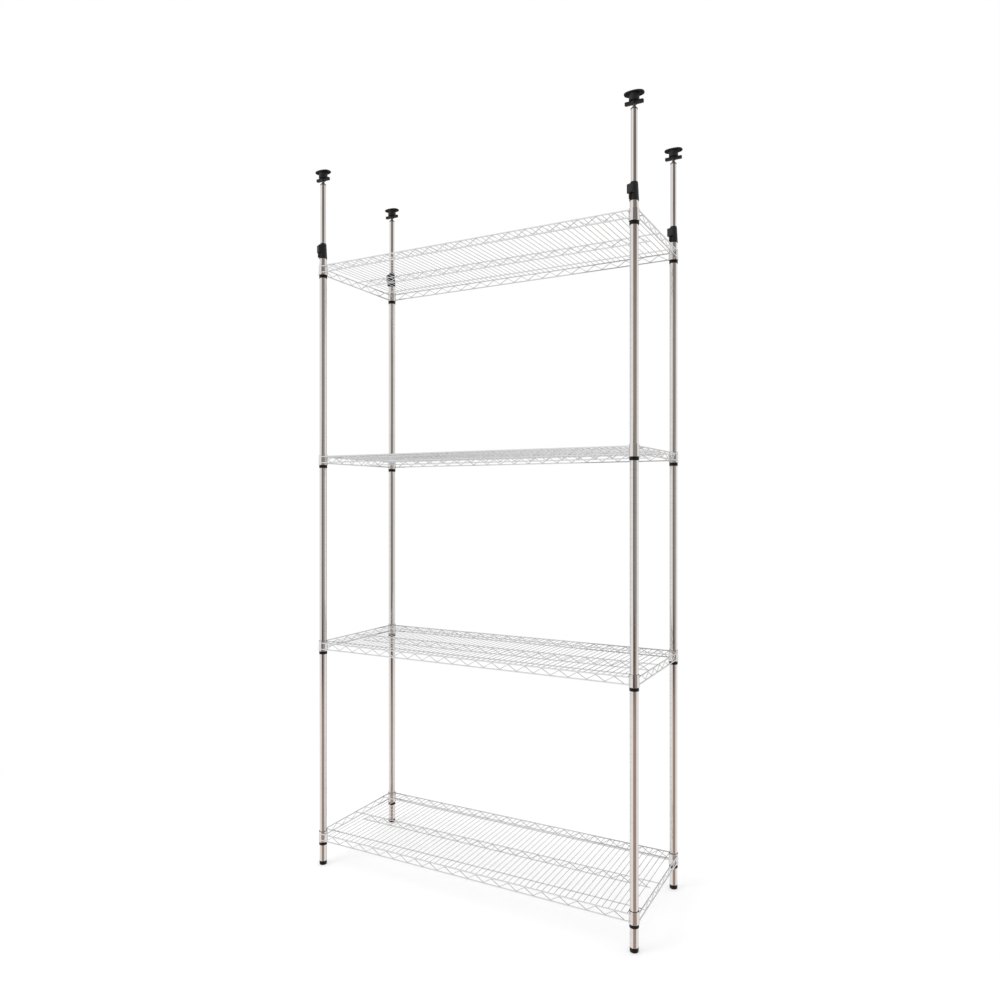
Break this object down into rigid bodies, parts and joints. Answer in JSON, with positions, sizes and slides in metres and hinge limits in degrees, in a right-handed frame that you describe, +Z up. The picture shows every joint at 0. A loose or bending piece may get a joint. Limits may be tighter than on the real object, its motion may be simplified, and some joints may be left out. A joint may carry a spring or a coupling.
{
  "type": "wire shelving unit",
  "caption": "Floor-to-ceiling chrome wire shelving unit: tube posts, welded wire shelves on tapered sleeves, lever-clamped telescopic poles and screw-jack ceiling pads.",
  "frame": {"origin": "on the floor, under the middle of the unit's outline, 1.4 mm in front of the middle of the posts", "axes": "+Z up; +X to the right along the width and -Y to the front, seen from the front"},
  "size_m": [1.2258, 0.4606, 2.4975],
  "materials": {
    "chrome_plated_steel": "polished",
    "black_nylon": "satin",
    "zinc_plated_steel": "plated"
  },
  "bodies": {
    "rack": {"shelf_1": "chrome_plated_steel", "shelf_2": "chrome_plated_steel", "shelf_3": "chrome_plated_steel", "shelf_4": "chrome_plated_steel", "foot_front_left": "black_nylon", "post_front_left": "chrome_plated_steel", "clamp_front_left": "black_nylon", "sleeve_1_front_left": "black_nylon", "sleeve_2_front_left": "black_nylon", "sleeve_3_front_left": "black_nylon", "sleeve_4_front_left": "black_nylon", "foot_front_right": "black_nylon", "post_front_right": "chrome_plated_steel", "clamp_front_right": "black_nylon", "sleeve_1_front_right": "black_nylon", "sleeve_2_front_right": "black_nylon", "sleeve_3_front_right": "black_nylon", "sleeve_4_front_right": "black_nylon", "foot_rear_left": "black_nylon", "post_rear_left": "chrome_plated_steel", "clamp_rear_left": "black_nylon", "sleeve_1_rear_left": "black_nylon", "sleeve_2_rear_left": "black_nylon", "sleeve_3_rear_left": "black_nylon", "sleeve_4_rear_left": "black_nylon", "foot_rear_right": "black_nylon", "post_rear_right": "chrome_plated_steel", "clamp_rear_right": "black_nylon", "sleeve_1_rear_right": "black_nylon", "sleeve_2_rear_right": "black_nylon", "sleeve_3_rear_right": "black_nylon", "sleeve_4_rear_right": "black_nylon"},
    "telescopic_pole_front_left": {"pole_front_left": "chrome_plated_steel", "pole_bush_front_left": "black_nylon", "pole_cap_front_left": "zinc_plated_steel"},
    "lever_front_left": {"clamp_lever_front_left": "black_nylon"},
    "pad_front_left": {"ceiling_pad_front_left": "black_nylon"},
    "jack_front_left": {"jack_screw_front_left": "zinc_plated_steel", "wing_handle_front_left": "black_nylon"},
    "telescopic_pole_front_right": {"pole_front_right": "chrome_plated_steel", "pole_bush_front_right": "black_nylon", "pole_cap_front_right": "zinc_plated_steel"},
    "lever_front_right": {"clamp_lever_front_right": "black_nylon"},
    "pad_front_right": {"ceiling_pad_front_right": "black_nylon"},
    "jack_front_right": {"jack_screw_front_right": "zinc_plated_steel", "wing_handle_front_right": "black_nylon"},
    "telescopic_pole_rear_left": {"pole_rear_left": "chrome_plated_steel", "pole_bush_rear_left": "black_nylon", "pole_cap_rear_left": "zinc_plated_steel"},
    "lever_rear_left": {"clamp_lever_rear_left": "black_nylon"},
    "pad_rear_left": {"ceiling_pad_rear_left": "black_nylon"},
    "jack_rear_left": {"jack_screw_rear_left": "zinc_plated_steel", "wing_handle_rear_left": "black_nylon"},
    "telescopic_pole_rear_right": {"pole_rear_right": "chrome_plated_steel", "pole_bush_rear_right": "black_nylon", "pole_cap_rear_right": "zinc_plated_steel"},
    "lever_rear_right": {"clamp_lever_rear_right": "black_nylon"},
    "pad_rear_right": {"ceiling_pad_rear_right": "black_nylon"},
    "jack_rear_right": {"jack_screw_rear_right": "zinc_plated_steel", "wing_handle_rear_right": "black_nylon"}
  },
  "joints": [
    {"name": "pole_slide_front_left", "type": "slide", "parent": "rack", "child": "telescopic_pole_front_left", "axis": [0, 0, 1], "range_m": [-0.2, 0.18]},
    {"name": "lever_hinge_front_left", "type": "hinge", "parent": "rack", "child": "lever_front_left", "pos_m": [-0.59109, -0.2231, 2.2274], "axis": [-0.866, 0.5, 0], "range_deg": [0, 100]},
    {"name": "pad_lift_front_left", "type": "slide", "parent": "telescopic_pole_front_left", "child": "pad_front_left", "axis": [0, 0, 1], "range_m": [-0.008, 0.04]},
    {"name": "handle_turn_front_left", "type": "hinge", "parent": "pad_front_left", "child": "jack_front_left", "pos_m": [-0.5825, -0.20823, 2.4689], "axis": [0, 0, 1], "range_deg": [-1441, 7201]},
    {"name": "pole_slide_front_right", "type": "slide", "parent": "rack", "child": "telescopic_pole_front_right", "axis": [0, 0, 1], "range_m": [-0.2, 0.18]},
    {"name": "lever_hinge_front_right", "type": "hinge", "parent": "rack", "child": "lever_front_right", "pos_m": [0.57391, -0.2231, 2.2274], "axis": [-0.866, 0.5, 0], "range_deg": [0, 100]},
    {"name": "pad_lift_front_right", "type": "slide", "parent": "telescopic_pole_front_right", "child": "pad_front_right", "axis": [0, 0, 1], "range_m": [-0.008, 0.04]},
    {"name": "handle_turn_front_right", "type": "hinge", "parent": "pad_front_right", "child": "jack_front_right", "pos_m": [0.5825, -0.20823, 2.4689], "axis": [0, 0, 1], "range_deg": [-1441, 7201]},
    {"name": "pole_slide_rear_left", "type": "slide", "parent": "rack", "child": "telescopic_pole_rear_left", "axis": [0, 0, 1], "range_m": [-0.2, 0.18]},
    {"name": "lever_hinge_rear_left", "type": "hinge", "parent": "rack", "child": "lever_rear_left", "pos_m": [-0.59109, 0.1962, 2.2274], "axis": [-0.866, 0.5, 0], "range_deg": [0, 100]},
    {"name": "pad_lift_rear_left", "type": "slide", "parent": "telescopic_pole_rear_left", "child": "pad_rear_left", "axis": [0, 0, 1], "range_m": [-0.008, 0.04]},
    {"name": "handle_turn_rear_left", "type": "hinge", "parent": "pad_rear_left", "child": "jack_rear_left", "pos_m": [-0.5825, 0.21107, 2.4689], "axis": [0, 0, 1], "range_deg": [-1441, 7201]},
    {"name": "pole_slide_rear_right", "type": "slide", "parent": "rack", "child": "telescopic_pole_rear_right", "axis": [0, 0, 1], "range_m": [-0.2, 0.18]},
    {"name": "lever_hinge_rear_right", "type": "hinge", "parent": "rack", "child": "lever_rear_right", "pos_m": [0.57391, 0.1962, 2.2274], "axis": [-0.866, 0.5, 0], "range_deg": [0, 100]},
    {"name": "pad_lift_rear_right", "type": "slide", "parent": "telescopic_pole_rear_right", "child": "pad_rear_right", "axis": [0, 0, 1], "range_m": [-0.008, 0.04]},
    {"name": "handle_turn_rear_right", "type": "hinge", "parent": "pad_rear_right", "child": "jack_rear_right", "pos_m": [0.5825, 0.21107, 2.4689], "axis": [0, 0, 1], "range_deg": [-1441, 7201]}
  ],
  "couplings": [
    {"joint": "handle_turn_front_left", "follows": "pad_lift_front_left", "rad_per_m": 3141.6},
    {"joint": "handle_turn_front_right", "follows": "pad_lift_front_right", "rad_per_m": 3141.6},
    {"joint": "handle_turn_rear_left", "follows": "pad_lift_rear_left", "rad_per_m": 3141.6},
    {"joint": "handle_turn_rear_right", "follows": "pad_lift_rear_right", "rad_per_m": 3141.6}
  ]
}
